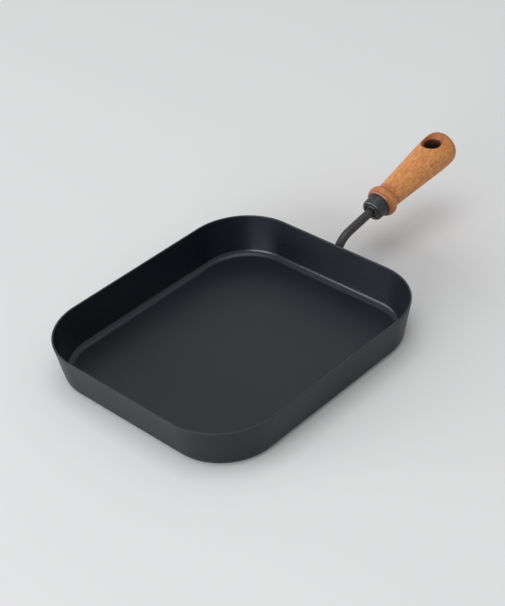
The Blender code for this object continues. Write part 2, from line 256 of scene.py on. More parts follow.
def wall_angle(pan):
    """Lean of the walls from upright."""
    return math.atan2(pan.wall_lean, pan.height)


def shoulder_point(pan, handle):
    return Vector((pan.length / 2 + handle.reach, 0, pan.height + handle.lift))


def handle_matrix(pan, handle):
    """From the axis on which pieces are turned to the handle's place."""
    return Matrix.Translation(shoulder_point(pan, handle)) @ Matrix.Rotation(-handle.rise, 4, "Y")


def rod_bore_radius(handle):
    return handle.rod_diameter / 2 + handle.fit_gap


def on_circle(centre, radius, angle):
    return Vector((centre.x + radius * math.cos(angle), centre.y + radius * math.sin(angle)))


def arc(centre, radius, start, end, steps):
    """Points of an arc in a plane, both ends included."""
    return [on_circle(centre, radius, start + (end - start) * step / steps) for step in range(steps + 1)]


def draw_profile(bm, points, closed):
    """Lay a line of edges through (along, out) points in the plane that is spun round the X axis."""
    verts = [bm.verts.new((along, 0, out)) for along, out in points]
    for pair in zip(verts, verts[1:]):
        bm.edges.new(pair)
    if closed:
        bm.edges.new((verts[-1], verts[0]))
    return verts


def ease_edges(bm, edges, width, segments, affect="EDGES"):
    bmesh.ops.bevel(
        bm, geom=edges, offset=width, offset_type="OFFSET", segments=segments, profile=0.5, affect=affect,
        material=-1,
    )


def round_corners(bm, corners):
    """Round each corner of a line or outline. corners holds (vertex, length of the rounding, segments)."""
    for vert, leg, segments in corners:
        ease_edges(bm, [vert], leg, segments, affect="VERTICES")


def spin_whole_turn(bm, place):
    """Spin a profile round the X axis and move the turned piece to its place."""
    bmesh.ops.spin(
        bm, geom=bm.verts[:] + bm.edges[:], cent=(0, 0, 0), axis=(1, 0, 0), angle=math.tau,
        steps=TURNED_SIDES, use_merge=True,
    )
    bmesh.ops.remove_doubles(bm, verts=bm.verts, dist=MERGE)
    bmesh.ops.transform(bm, matrix=place, verts=bm.verts)


def only(kind, parts):
    """The vertices, edges or faces among the parts that an operator returns."""
    return [part for part in parts if isinstance(part, kind)]


def verts_of(edges):
    """Each vertex of the edges once, in the edges' order."""
    return list(dict.fromkeys(vert for edge in edges for vert in edge.verts))


def extrude_loop(bm, edges, step):
    """Draw a loop of edges out by a step and return the new loop's edges."""
    made = bmesh.ops.extrude_edge_only(bm, edges=edges)["geom"]
    bmesh.ops.translate(bm, vec=step, verts=only(BMVert, made))
    return [edge for edge in only(BMEdge, made) if edge.is_boundary]


def scale_ring(bm, ring, centre, factor):
    size = (factor, factor, factor)
    bmesh.ops.scale(bm, vec=size, space=Matrix.Translation(-centre), verts=verts_of(ring))


def put_in_scene(name, data):
    item = bpy.data.objects.new(name, data)
    bpy.context.scene.collection.objects.link(item)
    return item


def make_object(name, bm, *materials):
    """Close a bmesh into a smooth object in the scene."""
    bmesh.ops.recalc_face_normals(bm, faces=bm.faces)
    mesh = bpy.data.meshes.new(name)
    bm.to_mesh(mesh)
    bm.free()
    mesh.shade_smooth()
    for material in materials:
        mesh.materials.append(material)
    return put_in_scene(name, mesh)


def hold_flats(piece):
    """Keep large faces looking flat up to the small roundings beside them, and return the piece."""
    piece.data.set_sharp_from_angle(angle=SHARP_ANGLE)
    weights = piece.modifiers.new("hold_flats", "WEIGHTED_NORMAL")
    weights.mode = "FACE_AREA"
    weights.keep_sharp = True
    return piece


def stand_for(piece, node):
    """Show this piece in place of its CAD node."""
    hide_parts(node)
    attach(piece, BODY)


# Pan body


def rounded_outline(bm, pan):
    """The rim's outline as one flat face with four rounded corners."""
    bmesh.ops.create_grid(bm, x_segments=1, y_segments=1, size=0.5)
    bmesh.ops.scale(bm, vec=(pan.length, pan.width, 1), verts=bm.verts)
    bmesh.ops.translate(bm, vec=(0, 0, pan.height), verts=bm.verts)
    round_corners(bm, [(vert, pan.corner_radius, PAN_CORNER_SEGMENTS) for vert in bm.verts[:]])
    return bm.faces[:][0]


def sink_dish(bm, face, inset, depth, floor_round):
    """Push a face down into a dish with leaning walls and round the corner where they meet its floor."""
    bmesh.ops.inset_individual(bm, faces=[face], thickness=inset, depth=depth, use_even_offset=True)
    ease_edges(bm, face.edges[:], floor_round, BASE_ROUND_SEGMENTS)


def make_pan_body(pan, inner_finish, outer_finish):
    """One steel sheet drawn into a tray: its outside, its inside and the cut rim between them."""
    lean = wall_angle(pan)
    round_leg = math.tan((math.pi / 2 - lean) / 2)
    rim_width = pan.sheet / math.cos(lean)
    floor_drop = pan.height - pan.sheet
    floor_inset = pan.wall_lean * floor_drop / pan.height
    finishes = (inner_finish, outer_finish)
    bm = bmesh.new()
    inside = rounded_outline(bm, pan)
    outside = only(BMFace, bmesh.ops.duplicate(bm, geom=[inside])["geom"])[0]
    outside.material_index = finishes.index(outer_finish)
    bmesh.ops.inset_individual(bm, faces=[inside], thickness=rim_width, use_even_offset=True)
    sink_dish(bm, inside, floor_inset, -floor_drop, (pan.base_round - pan.sheet) * round_leg)
    sink_dish(bm, outside, pan.wall_lean, -pan.height, pan.base_round * round_leg)
    bmesh.ops.remove_doubles(bm, verts=bm.verts, dist=MERGE)
    bmesh.ops.recalc_face_normals(bm, faces=bm.faces)
    top = [edge for edge in bm.edges if all(abs(vert.co.z - pan.height) < MERGE for vert in edge.verts)]
    loops = [edge for edge in top if not all(abs(face.normal.z) > LEVEL for face in edge.link_faces)]
    ease_edges(bm, loops, pan.rim_ease, RIM_SEGMENTS)
    return hold_flats(make_object("drawn_pan", bm, *finishes))


# Rod and welds


def wall_frame(pan):
    """Directions on the outside of the handle-side wall: up along it, and square out of it."""
    lean = wall_angle(pan)
    return Vector((math.sin(lean), 0, math.cos(lean))), Vector((math.cos(lean), 0, -math.sin(lean)))


def handle_direction(handle):
    return Vector((math.cos(handle.rise), 0, math.sin(handle.rise)))


def rod_path(pan, handle):
    """Foot end, start of the bend, bend centre and turn angle of the rod's centre line."""
    up, out = wall_frame(pan)
    along = handle_direction(handle)
    wall_foot = Vector((pan.length / 2 - pan.wall_lean, 0, 0)) + out * rod_bore_radius(handle)
    to_foot = wall_foot - shoulder_point(pan, handle)
    cross = up.x * along.z - up.z * along.x
    corner = wall_foot + up * ((to_foot.z * along.x - to_foot.x * along.z) / cross)
    turn = math.pi / 2 - wall_angle(pan) - handle.rise
    bend_start = corner - up * (handle.bend_radius * math.tan(turn / 2))
    foot_end = bend_start - up * ((bend_start.z - handle.foot_height) / up.z)
    return foot_end, bend_start, bend_start + out * handle.bend_radius, turn


def make_rod(pan, handle, material):
    """Round bar: a circle drawn up the wall, spun through the bend and drawn on into the wood."""
    foot_end, bend_start, bend_centre, turn = rod_path(pan, handle)
    bm = bmesh.new()
    place = Matrix.Translation(foot_end) @ Matrix.Rotation(wall_angle(pan), 4, "Y")
    bmesh.ops.create_circle(bm, segments=ROD_SIDES, radius=handle.rod_diameter / 2, matrix=place)
    foot_loop = bm.edges[:]
    loop = extrude_loop(bm, foot_loop, bend_start - foot_end)
    spun = bmesh.ops.spin(
        bm, geom=verts_of(loop) + loop, cent=bend_centre, axis=(0, 1, 0), angle=turn, steps=ROD_BEND_STEPS
    )["geom_last"]
    loop = only(BMEdge, spun)
    along = handle_direction(handle)
    bend_end = sum((vert.co for vert in verts_of(loop)), Vector()) / ROD_SIDES
    rod_end = shoulder_point(pan, handle) + along * handle.engagement
    end_loop = extrude_loop(bm, loop, along * (rod_end - bend_end).length)
    for ends in (foot_loop, end_loop):
        bmesh.ops.edgeloop_fill(bm, edges=ends)
    ease_edges(bm, foot_loop + end_loop, handle.rod_chamfer, EASE_SEGMENTS)
    return hold_flats(make_object("bent_rod", bm, material))


def weld_outline(handle):
    """Corners of the weld's section, as (across, out of the wall): root, top on the rod and toe."""
    hub = rod_bore_radius(handle)
    root = (math.sqrt(hub**2 - (hub - handle.fit_gap / 2) ** 2), handle.fit_gap / 2)
    top_out = handle.fit_gap + handle.weld_leg
    top = (math.sqrt(handle.rod_diameter**2 / 4 - (hub - top_out) ** 2), top_out)
    toe = (top[0] + handle.weld_leg, handle.fit_gap / 2)
    return root, top, toe


def weld_size(share):
    """Size of the weld's section at a share of its run: full, but rounded off towards both ends."""
    near_end = min(1, min(share, 1 - share) / WELD_END_SHARE)
    return WELD_END_SIZE + (1 - WELD_END_SIZE) * math.sqrt(1 - (1 - near_end) ** 2)


def weld_section(bm, root, top, toe, bow):
    """First section of the weld, a triangle whose outer side bulges by the bow in its middle."""
    verts = [bm.verts.new(point) for point in (root, top, toe)]
    bm.faces.new(verts)
    outer = bm.edges.get(verts[1:])
    skin = bmesh.ops.subdivide_edges(bm, edges=[outer], cuts=WELD_SKIN_CUTS)["geom_inner"]
    middle = (top + toe) / 2
    half = (top - toe).length / 2
    for vert in only(BMVert, skin):
        vert.co += bow * (1 - ((vert.co - middle).length / half) ** 2)


def make_weld(name, side, pan, handle, material):
    """One run of weld beside the rod's foot, in bowed ripples. side is +1 or -1 along Y."""
    foot_end, bend_start, _, _ = rod_path(pan, handle)
    up, out = wall_frame(pan)
    start = foot_end - out * rod_bore_radius(handle) + up * handle.weld_setback
    root, top, toe = (
        start + Vector((0, side * across, 0)) + out * height for across, height in weld_outline(handle)
    )
    bow = (Vector((0, side, 0)) + out).normalized() * handle.weld_swell + up * handle.weld_bow
    bm = bmesh.new()
    weld_section(bm, root, top, toe, bow)
    ring = bm.edges[:]
    run = (bend_start - foot_end).length - 2 * handle.weld_setback
    steps = round(run / handle.weld_ripple) * WELD_STEPS_PER_RIPPLE
    last_size = 1
    for step in range(steps + 1):
        share = step / steps
        dip = WELD_DIP * abs(math.cos(math.pi * step / WELD_STEPS_PER_RIPPLE))
        size = weld_size(share) * (1 - dip)
        if step:
            ring = extrude_loop(bm, ring, up * (run / steps))
        scale_ring(bm, ring, root + up * (run * share), size / last_size)
        last_size = size
    bmesh.ops.edgeloop_fill(bm, edges=ring)
    piece = make_object(name, bm, material)
    piece.data.set_sharp_from_angle(angle=WELD_SHARP_ANGLE)
    return piece


# Collar and ferrule


def make_ferrule(pan, handle, material):
    """Cap with a rounded front corner, a recess for the collar and a socket for the wood's tenon."""
    front = -handle.ferrule_length
    back = -handle.fit_gap
    floor = front + handle.recess_depth
    web_back = floor + handle.ferrule_web
    recess = handle.recess_diameter / 2
    bore = rod_bore_radius(handle)
    socket = handle.ferrule_back / 2 - handle.ferrule_wall
    outline = [
        (back, socket), (back, handle.ferrule_back / 2), (front, handle.ferrule_front / 2),
        (front, recess), (floor, recess), (floor, bore), (web_back, bore), (web_back, socket),
    ]
    bm = bmesh.new()
    _, rear, nose, lip, recess_end, *_ = draw_profile(bm, outline, closed=True)
    corners = [
        (rear, handle.ferrule_ease, EASE_SEGMENTS),
        (nose, handle.ferrule_round, FERRULE_ROUND_SEGMENTS),
        (lip, handle.ferrule_lip, EASE_SEGMENTS),
        (recess_end, handle.ferrule_ease, EASE_SEGMENTS),
    ]
    round_corners(bm, corners)
    spin_whole_turn(bm, handle_matrix(pan, handle))
    return hold_flats(make_object("turned_ferrule", bm, material))


def collar_back(handle):
    """Station of the collar's back, just in front of the recess's end."""
    return -handle.ferrule_length + handle.recess_depth - handle.fit_gap


def make_collar(pan, handle, material):
    """Ring on the rod with a rounded front corner."""
    back = collar_back(handle)
    front = back - handle.collar_width
    radius = handle.collar_diameter / 2
    bore = handle.rod_diameter / 2 + handle.collar_fit
    outline = [(back, bore), (back, radius), (front, radius), (front, bore)]
    bm = bmesh.new()
    _, _, nose, bore_edge = draw_profile(bm, outline, closed=True)
    corners = [
        (nose, handle.collar_round, COLLAR_ROUND_SEGMENTS),
        (bore_edge, handle.collar_ease, COLLAR_EASE_SEGMENTS),
    ]
    round_corners(bm, corners)
    spin_whole_turn(bm, handle_matrix(pan, handle))
    return hold_flats(make_object("rod_collar", bm, material))


# Wooden grip


def eased_corner(start, corner, end):
    """Curve that takes the place of a corner, leaving and arriving along its two legs."""
    steps = 2 * EASE_SEGMENTS
    shares = [step / steps for step in range(steps + 1)]
    return [start.lerp(corner, share).lerp(corner.lerp(end, share), share) for share in shares]


def bead_profile(grip):
    """One arc from the shoulder's eased edge over the crest and down into the hollow of the neck."""
    hub = Vector((grip.bead_station, grip.bead_diameter / 2 - grip.bead_round))
    face_angle = math.acos(-grip.bead_station / grip.bead_round)
    neck_angle = math.asin((grip.neck_diameter / 2 - hub.y) / grip.bead_round)
    start = face_angle - grip.shoulder_ease / grip.bead_round
    end = neck_angle + grip.neck_fillet / grip.bead_round
    crest = arc(hub, grip.bead_round, start, end, BEAD_STEPS)
    shoulder = on_circle(hub, grip.bead_round, face_angle)
    neck = on_circle(hub, grip.bead_round, neck_angle)
    front = eased_corner(shoulder - Vector((0, grip.shoulder_ease)), shoulder, crest[0])
    back = eased_corner(crest[-1], neck, neck + Vector((grip.neck_fillet, 0)))
    return front + crest[1:-1] + back


def body_profile(grip, start_station):
    """Neck to belly as one curve that leaves and arrives level."""
    neck = (start_station, grip.neck_diameter / 2, 0)
    belly = (grip.belly_station, grip.belly_diameter / 2, 0)
    neck_handle = (start_station + grip.neck_handle, grip.neck_diameter / 2, 0)
    belly_handle = (grip.belly_station - grip.belly_handle, grip.belly_diameter / 2, 0)
    curve = interpolate_bezier(neck, neck_handle, belly_handle, belly, BODY_STEPS + 1)
    return [point.xy for point in curve]


def tip_profile(grip):
    """Belly to tip, a blunt oval end that closes on the axis."""
    run = grip.length - grip.belly_station
    points = []
    for step in range(1, TIP_STEPS):
        angle = math.pi / 2 * step / TIP_STEPS
        along = math.sin(angle) ** (2 / grip.tip_fullness)
        out = math.cos(angle) ** (2 / grip.tip_fullness)
        points.append((grip.belly_station + run * along, grip.belly_diameter / 2 * out))
    return points + [(grip.length, 0)]


def bore_profile(handle, grip):
    """Blind bore for the bush and the rod, and the tenon that the ferrule covers."""
    tenon_front = -(handle.ferrule_length - handle.recess_depth - handle.ferrule_web - handle.fit_gap)
    bush_end = tenon_front + grip.bush_length + handle.fit_gap
    bush_bore = grip.bush_diameter / 2 + handle.fit_gap
    tenon = handle.ferrule_back / 2 - handle.ferrule_wall - handle.fit_gap
    bore_end = handle.engagement + grip.bore_relief
    bore = rod_bore_radius(handle)
    return [
        (bore_end, 0), (bore_end, bore), (bush_end, bore), (bush_end, bush_bore), (tenon_front, bush_bore),
        (tenon_front, tenon), (0, tenon),
    ]


def hole_section(grip):
    """The hanging hole's bore radius, the height where its countersinks start, and their slope."""
    bore = grip.hole_diameter / 2
    bore_end = grip.belly_diameter / 2 - grip.sink_depth
    return bore, bore_end, (grip.sink_diameter / 2 - bore) / grip.sink_depth


def make_hole_cutter(pan, handle, grip):
    """Double countersink and bore, across the grip."""
    bore, bore_end, slope = hole_section(grip)
    reach = grip.belly_diameter / 2 + grip.sink_depth
    upper = [(bore_end, bore), (reach, bore + slope * (reach - bore_end)), (reach, 0)]
    lower = [(-along, out) for along, out in reversed(upper)]
    bm = bmesh.new()
    draw_profile(bm, lower + upper, closed=False)
    across = Matrix.Translation((grip.hole_station, 0, 0)) @ Matrix.Rotation(-math.pi / 2, 4, "Y")
    spin_whole_turn(bm, handle_matrix(pan, handle) @ across)
    return make_object("hole_cutter", bm)


def cut_away(piece, cutter):
    cut = piece.modifiers.new("hanging_hole", "BOOLEAN")
    cut.operation = "DIFFERENCE"
    cut.solver = "EXACT"
    cut.object = cutter


def sand(piece, grip):
    """Give the whole piece one even skin and take its sharp edges off."""
    skin = piece.modifiers.new("even_skin", "REMESH")
    skin.mode = "VOXEL"
    skin.voxel_size = grip.skin_step
    skin.use_smooth_shade = True
    sanding = piece.modifiers.new("sanding", "SMOOTH")
    sanding.factor = SANDING_STRENGTH
    sanding.iterations = SANDING_PASSES


def bake_modifiers(piece):
    """Make what the modifiers show the piece's own mesh."""
    graph = bpy.context.evaluated_depsgraph_get()
    mesh = bpy.data.meshes.new_from_object(piece.evaluated_get(graph))
    piece.modifiers.clear()
    piece.data = mesh


def make_grip(pan, handle, grip, material):
    """Turned wood with a countersunk hanging hole, then sanded all over."""
    bm = bmesh.new()
    bead = bead_profile(grip)
    body = body_profile(grip, bead[-1].x)[1:]
    draw_profile(bm, bore_profile(handle, grip) + bead + body + tip_profile(grip), closed=False)
    spin_whole_turn(bm, handle_matrix(pan, handle))
    piece = make_object("turned_grip", bm, material)
    cutter = make_hole_cutter(pan, handle, grip)
    cut_away(piece, cutter)
    sand(piece, grip)
    bake_modifiers(piece)
    bpy.data.objects.remove(cutter)
    return piece


# Shared helpers for materials


def feed(tree, sockets, values):
    """Give sockets their values by name or place. A value that is a socket itself is linked."""
    for key, value in values.items():
        if isinstance(value, NodeSocket):
            tree.links.new(value, sockets[key])
        else:
            sockets[key].default_value = value


def put(tree, kind, values=(), **options):
    """Add a node, set its options and feed its sockets."""
    node = tree.nodes.new("ShaderNode" + kind)
    for name, value in options.items():
        setattr(node, name, value)
    feed(tree, node.inputs, dict(values))
    return node


def calculate(tree, operation, first, second=0.0):
    return put(tree, "Math", {0: first, 1: second}, operation=operation).outputs[0]


def times(tree, first, second):
    return calculate(tree, "MULTIPLY", first, second)


def highest(tree, first, *others):
    """The largest of several numbers."""
    for other in others:
        first = calculate(tree, "MAXIMUM", first, other)
    return first


def weighted_sum(tree, parts):
    """Sum of values, each times its weight. parts holds (value, weight)."""
    total, *others = [times(tree, value, weight) for value, weight in parts]
    for other in others:
        total = calculate(tree, "ADD", total, other)
    return total


def spread(tree, value, low, high):
    """Stretch the values from low to high over 0 to 1, with a soft start and end."""
    sockets = {"Value": value, "From Min": low, "From Max": high}
    return put(tree, "MapRange", sockets, interpolation_type="SMOOTHSTEP").outputs["Result"]


def between(tree, factor, low, high):
    """Number that goes from low to high with the factor."""
    return put(tree, "MapRange", {"Value": factor, "To Min": low, "To Max": high}).outputs["Result"]


def near(tree, first, second, reach, core=1 / 3):
    """1 where two numbers are alike, fading to 0 where they differ by the reach. core is the share of the
    reach within which it stays 1.
    """
    apart = calculate(tree, "ABSOLUTE", calculate(tree, "SUBTRACT", first, second))
    return spread(tree, apart, reach, core * reach)


def mix_colours(tree, factor, first, second):
    """Colour that goes from the first to the second with the factor. Each is a socket or three numbers."""
    sockets = {0: factor}
    for key, value in zip(MIX_COLOUR_INPUTS, (first, second)):
        sockets[key] = value if isinstance(value, NodeSocket) else (*value, 1)
    return put(tree, "Mix", sockets, data_type="RGBA").outputs[MIX_COLOUR_OUTPUT]


def mottled(tree, mask, base, darkest, palest):
    """Shades of one colour that follow a mask. darkest and palest are what the colour is multiplied by."""
    return mix_colours(tree, mask, [c * darkest for c in base], [c * palest for c in base])


def axes(tree, place):
    return put(tree, "SeparateXYZ", {0: place}).outputs


def length_of(tree, vector):
    return put(tree, "VectorMath", {0: vector}, operation="LENGTH").outputs["Value"]


def stretched(tree, vector, scale):
    return put(tree, "Mapping", {"Vector": vector, "Scale": scale}).outputs["Vector"]


def noise(tree, vector, scale, detail=3.0, roughness=0.55):
    sockets = {"Vector": vector, "Scale": scale, "Detail": detail, "Roughness": roughness}
    return put(tree, "TexNoise", sockets).outputs["Fac"]


def relief(tree, height, depth):
    """Normals of a surface with a fine relief."""
    return put(tree, "Bump", {"Height": height, "Distance": depth, "Strength": 1.0}).outputs["Normal"]


def new_group(name, inputs, outputs):
    """Node group with sockets of these names and kinds. Returns its tree, its givens and its results."""
    tree = bpy.data.node_groups.new(name, "ShaderNodeTree")
    for way, sockets in (("INPUT", inputs), ("OUTPUT", outputs)):
        for label, kind in sockets.items():
            tree.interface.new_socket(label, in_out=way, socket_type="NodeSocket" + kind)
    start = tree.nodes.new("NodeGroupInput")
    end = tree.nodes.new("NodeGroupOutput")
    return tree, start.outputs, end.inputs


def use_group(tree, build, sockets):
    """Add a shared effect, whose group is built the first time that a finish needs it."""
    group = bpy.data.node_groups.get(build.__name__) or build(build.__name__)
    return put(tree, "Group", sockets, node_tree=group).outputs


def new_material(name):
    """Material with only its main shader. Returns the material, its tree and the shader's sockets."""
    material = bpy.data.materials.new(name)
    material.use_nodes = True
    tree = material.node_tree
    return material, tree, tree.nodes["Principled BSDF"].inputs


def object_place(tree):
    return put(tree, "TexCoord").outputs["Object"]


def along_handle(tree, pan, handle):
    """Place measured on the handle: X along its axis from the wood's shoulder."""
    sockets = {
        "Vector": object_place(tree),
        "Location": shoulder_point(pan, handle),
        "Rotation": (0, -handle.rise, 0),
    }
    return put(tree, "Mapping", sockets, vector_type="TEXTURE").outputs["Vector"]


# Effects that the finishes are made of


def sprayed_finish(name):
    """Sprayed finish: fine grain, soft clouds where it lies thicker, and a height for its orange peel."""
    tree, given, result = new_group(
        name,
        {"Place": "Vector", "Grain": "Float", "Cloud": "Float"},
        {"Speckle": "Float", "Clouds": "Float", "Height": "Float"},
    )
    peel_to_grain = 0.28
    grain = noise(tree, given["Place"], given["Grain"], detail=2.0)
    peel = noise(tree, given["Place"], times(tree, given["Grain"], peel_to_grain), detail=2.0)
    clouds = noise(tree, given["Place"], given["Cloud"], detail=4.0, roughness=0.5)
    feed(tree, result, {
        "Speckle": spread(tree, grain, 0.35, 0.72),
        "Clouds": spread(tree, clouds, 0.32, 0.68),
        "Height": weighted_sum(tree, [(grain, 0.45), (peel, 0.55)]),
    })
    return tree


def lathe_lines(name):
    """Fine rings that a cutting tool leaves round a turned piece, for a place measured along its axis."""
    tree, given, result = new_group(
        name, {"Place": "Vector", "Lines": "Float"}, {"Mask": "Float", "Height": "Float"}
    )
    round_to_along = 0.012
    broad_to_fine = 0.22
    flat = stretched(tree, given["Place"], (1, round_to_along, round_to_along))
    fine = noise(tree, flat, given["Lines"], roughness=0.7)
    broad = noise(tree, flat, times(tree, given["Lines"], broad_to_fine), detail=2.0)
    feed(tree, result, {
        "Mask": spread(tree, fine, 0.4, 0.66),
        "Height": weighted_sum(tree, [(fine, 0.6), (broad, 0.4)]),
    })
    return tree


def patchy_wear(name):
    """Patchy wear: an edge mask broken up by noise."""
    tree, given, result = new_group(
        name, {"Place": "Vector", "Edge": "Float", "Patches": "Float"}, {"Mask": "Float"}
    )
    patches = noise(tree, given["Place"], given["Patches"], detail=4.0, roughness=0.65)
    worn = times(tree, given["Edge"], between(tree, patches, 0.35, 1.15))
    feed(tree, result, {"Mask": spread(tree, worn, 0.25, 0.85)})
    return tree


def oiled_wood_grain(name):
    """Oiled, open-grained wood: broad bands, fibres, flecks and pores that run along X."""
    tree, given, result = new_group(
        name,
        {"Place": "Vector", "Light": "Color", "Dark": "Color", "Pore": "Color"},
        {"Colour": "Color", "Roughness": "Float", "Height": "Float"},
    )
    place = given["Place"]
    blotches = noise(tree, stretched(tree, place, (0.45, 1, 1)), 400.0, detail=4.0, roughness=0.6)
    fibres = noise(tree, stretched(tree, place, (0.1, 1, 1)), 900.0, roughness=0.6)
    flecks = noise(tree, stretched(tree, place, (0.5, 1, 1)), 900.0, detail=2.0)
    ticks = noise(tree, stretched(tree, place, (0.22, 1, 1)), 1500.0, detail=1.0)
    tones = [
        (spread(tree, blotches, 0.38, 0.62), 0.5),
        (spread(tree, fibres, 0.34, 0.66), 0.25),
        (spread(tree, flecks, 0.36, 0.64), 0.25),
    ]
    grain = mix_colours(tree, weighted_sum(tree, tones), given["Dark"], given["Light"])
    pores = spread(tree, ticks, 0.57, 0.68)
    pore_darkness = 0.38
    fibre_height = 0.5
    feed(tree, result, {
        "Colour": mix_colours(tree, times(tree, pores, pore_darkness), grain, given["Pore"]),
        "Roughness": between(tree, fibres, 0.5, 0.68),
        "Height": calculate(tree, "SUBTRACT", times(tree, fibres, fibre_height), pores),
    })
    return tree


# Finishes. dullness is the roughness where a finish is smoothest and where it is roughest


def coated_steel(name, pan, finishes, coat, sheen, dullness):
    """Black coating: sprayed grain, soft clouds, level lines that the drawing die left on the walls, a
    duller floor and a thinner coat on the rim.
    """
    material, tree, surface = new_material(name)
    place = object_place(tree)
    height = axes(tree, place)["Z"]
    sprayed = use_group(tree, sprayed_finish, {"Place": place, "Grain": 2400.0, "Cloud": 16.0})
    grainy = mottled(tree, sprayed["Speckle"], coat, darkest=0.82, palest=1.2)
    rim_foot, rim_top = pan.height - 0.7 * MM, pan.height - 0.1 * MM
    on_rim = spread(tree, height, rim_foot, rim_top)
    worn = use_group(tree, patchy_wear, {"Place": place, "Edge": on_rim, "Patches": 90.0})["Mask"]
    lines = noise(tree, stretched(tree, place, (0.02, 0.02, 1)), 800.0)
    line_dullness = 0.02
    floor_dullness = 0.13
    roughness = [
        (between(tree, sprayed["Clouds"], *dullness), 1.0),
        (spread(tree, lines, 0.4, 0.7), line_dullness),
        (spread(tree, height, 2 * pan.sheet, pan.sheet), floor_dullness),
    ]
    feed(tree, surface, {
        "Base Color": mix_colours(tree, worn, grainy, finishes.bare_edge),
        "Roughness": weighted_sum(tree, roughness),
        "Normal": relief(tree, sprayed["Height"], 0.012 * MM),
        "Specular IOR Level": sheen,
        "Specular Tint": (*finishes.coat_tint, 1),
    })
    return material


def sprayed_steel(name, base, grain, cloud, mask, shades, dullness, depth):
    """Sprayed finish whose colour follows the mask of its speckle or clouds. shades is what multiplies the
    colour where that mask is 0 and 1.
    """
    material, tree, surface = new_material(name)
    place = object_place(tree)
    sprayed = use_group(tree, sprayed_finish, {"Place": place, "Grain": grain, "Cloud": cloud})
    feed(tree, surface, {
        "Base Color": mottled(tree, sprayed[mask], base, *shades),
        "Roughness": between(tree, sprayed["Clouds"], *dullness),
        "Normal": relief(tree, sprayed["Height"], depth),
    })
    return material


def rod_steel(finishes):
    """Black finish on drawn bar, with a coarse grain."""
    return sprayed_steel(
        "rod_finish", finishes.rod, grain=1300.0, cloud=60.0, mask="Speckle", shades=(0.5, 1.9),
        dullness=(0.3, 0.42), depth=0.04 * MM,
    )


def weld_steel(finishes):
    """The same black finish, over the rough skin of a weld."""
    return sprayed_steel(
        "weld_finish", finishes.rod, grain=1400.0, cloud=300.0, mask="Clouds", shades=(0.8, 1.6),
        dullness=(0.4, 0.62), depth=0.12 * MM,
    )


def turned_steel(name, pan, handle, base, worn, edge, reach, dullness, metallic=0.0):
    """Turned metal with lathe lines and one worn edge, given by its station and the reach of the wear."""
    material, tree, surface = new_material(name)
    place = along_handle(tree, pan, handle)
    lines = use_group(tree, lathe_lines, {"Place": place, "Lines": 2600.0})
    on_edge = near(tree, axes(tree, place)["X"], edge, reach, core=0.0)
    patches = use_group(tree, patchy_wear, {"Place": place, "Edge": on_edge, "Patches": 240.0})["Mask"]
    lined = mottled(tree, lines["Mask"], base, darkest=0.85, palest=1.2)
    polish = between(tree, patches, 1.0, 0.6)
    feed(tree, surface, {
        "Base Color": mix_colours(tree, patches, lined, worn),
        "Roughness": times(tree, between(tree, lines["Mask"], *dullness), polish),
        "Normal": relief(tree, lines["Height"], 0.01 * MM),
        "Metallic": metallic,
    })
    return material


def ferrule_steel(pan, handle, finishes):
    """Black turned cap, worn round its front."""
    return turned_steel(
        "ferrule_finish", pan, handle, base=finishes.ferrule, worn=finishes.rod,
        edge=-handle.ferrule_length + 0.6 * MM, reach=1.6 * MM, dullness=(0.38, 0.48),
    )


def collar_steel(pan, handle, finishes):
    """Grey turned ring, paler at its front edge."""
    return turned_steel(
        "collar_finish", pan, handle, base=finishes.collar, worn=finishes.collar_edge,
        edge=collar_back(handle) - handle.collar_width, reach=0.6 * MM, dullness=(0.32, 0.42),
    )


def bush_steel(pan, handle, finishes):
    """Bright turned steel."""
    return turned_steel(
        "bush_finish", pan, handle, base=finishes.bush, worn=finishes.collar, edge=0.0, reach=0.4 * MM,
        dullness=(0.26, 0.36), metallic=1.0,
    )


def hole_masks(tree, place, grip):
    """Where the hanging hole's bore and its two countersinks are, from the distance to the hole's axis."""
    centred = axes(tree, place)
    along = calculate(tree, "SUBTRACT", centred["X"], grip.hole_station)
    across = put(tree, "CombineXYZ", {"X": along, "Y": centred["Y"]}).outputs["Vector"]
    radius = length_of(tree, across)
    height = calculate(tree, "ABSOLUTE", centred["Z"])
    bore, bore_end, slope = hole_section(grip)
    above_bore = calculate(tree, "SUBTRACT", height, bore_end)
    cone = put(tree, "Math", {0: above_bore, 1: slope, 2: bore}, operation="MULTIPLY_ADD").outputs[0]
    # The bore's mask is painted shade: it starts just below the mouth and grows deeper further into the
    # bore.
    bore_reach, sink_reach, shade_reach = 0.9 * MM, 0.7 * MM, 0.3 * MM
    below_mouth = spread(tree, height, bore_end + shade_reach, bore_end - sink_reach)
    bore_depth_shade = times(tree, below_mouth, between(tree, spread(tree, height, bore_end, 0.0), 0.86, 0.99))
    bore_shade_mask = times(tree, near(tree, radius, bore, bore_reach), bore_depth_shade)
    above_mouth = spread(tree, height, bore_end - bore_reach, bore_end)
    return bore_shade_mask, times(tree, near(tree, radius, cone, sink_reach), above_mouth)


